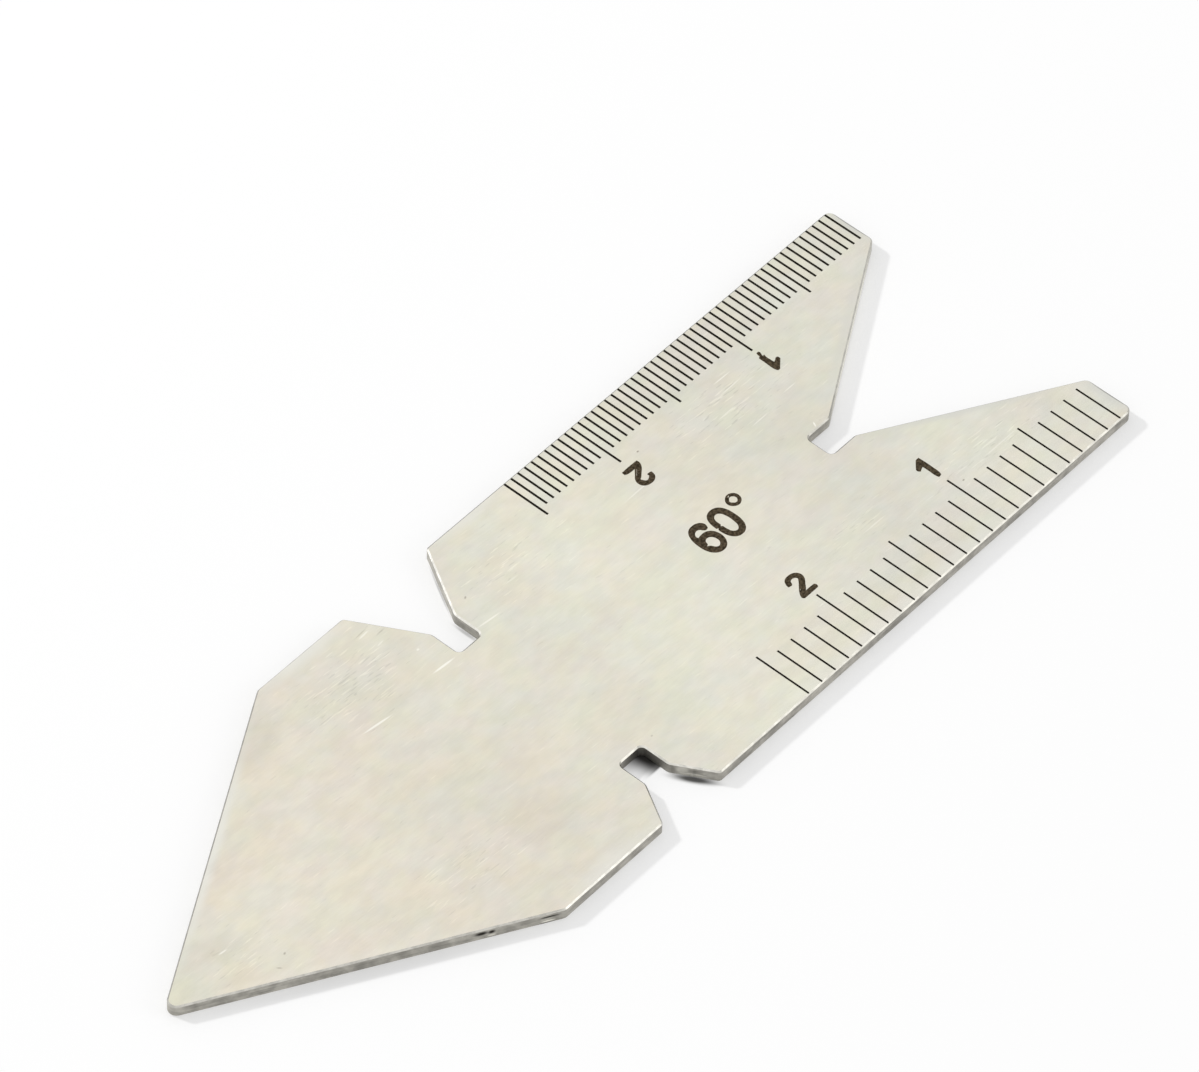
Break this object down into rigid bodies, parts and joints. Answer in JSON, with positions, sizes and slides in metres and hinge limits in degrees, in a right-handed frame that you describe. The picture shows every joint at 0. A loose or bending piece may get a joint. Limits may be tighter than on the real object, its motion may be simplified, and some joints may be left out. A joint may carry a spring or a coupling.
{
  "type": "center gauge",
  "caption": "Flat steel gauge for setting and checking thread-cutting tools, with a pointed end, a forked end, a notch in each long edge and engraved millimetre scales.",
  "frame": {"origin": "middle of the bounding box on the plain back face, which the gauge rests on", "axes": "+X along the plate from the point to the fork, +Y across it towards the edge with the wide notch and the half-millimetre scale, +Z out of the engraved face"},
  "size_m": [0.0596, 0.0198, 0.0008],
  "materials": {
    "ground_steel": "fine lengthwise brushed stainless steel, satin",
    "etched_black": "dull black fill of the engraved marks and numerals"
  },
  "bodies": {
    "root": {"gauge_plate": "ground_steel"}
  },
  "joints": []
}
